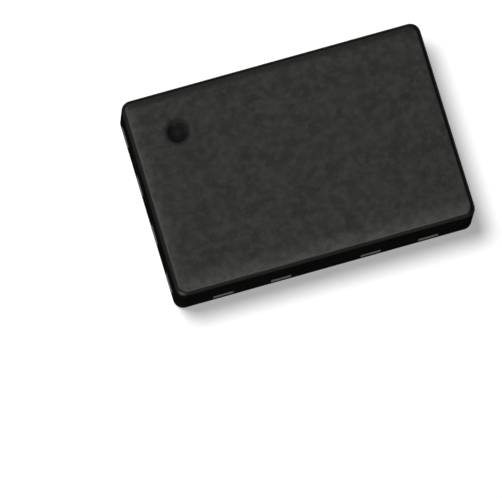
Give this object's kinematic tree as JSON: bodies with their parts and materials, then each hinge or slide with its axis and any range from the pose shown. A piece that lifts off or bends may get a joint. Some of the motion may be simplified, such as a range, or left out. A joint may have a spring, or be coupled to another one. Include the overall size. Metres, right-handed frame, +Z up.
{
  "type": "capacitive touch sensor chip",
  "caption": "Small black moulded chip in a flat no-lead package, with solder lands along both ends, an exposed pad underneath and a round pin-one mark on top.",
  "frame": {"origin": "on the solder plane under the middle of the package", "axes": "+Z up through the marked top face, +X along the package towards the end without the pin-one mark, +Y across it towards the side with the pin-one mark"},
  "size_m": [0.003, 0.002, 0.0005],
  "materials": {
    "mould_compound": "matte black epoxy moulding compound, finely mottled, sawn on its four sides",
    "tinned_copper": "copper alloy with a satin tin finish on the solder side and bare sawn ends",
    "die_adhesive": "silver-filled epoxy",
    "silicon": "polished silicon under clear passivation, with aluminium bond pads",
    "gold_wire": "bright drawn gold"
  },
  "bodies": {
    "root": {"moulded_body": "mould_compound", "die_paddle": "tinned_copper", "die_attach": "die_adhesive", "silicon_die": "silicon", "lead_1": "tinned_copper", "lead_2": "tinned_copper", "lead_3": "tinned_copper", "lead_4": "tinned_copper", "lead_5": "tinned_copper", "lead_6": "tinned_copper", "lead_7": "tinned_copper", "lead_8": "tinned_copper", "bond_wire_1": "gold_wire", "bond_wire_2": "gold_wire", "bond_wire_3": "gold_wire", "bond_wire_4": "gold_wire", "bond_wire_5": "gold_wire", "bond_wire_6": "gold_wire", "bond_wire_7": "gold_wire", "bond_wire_8": "gold_wire"}
  },
  "joints": []
}
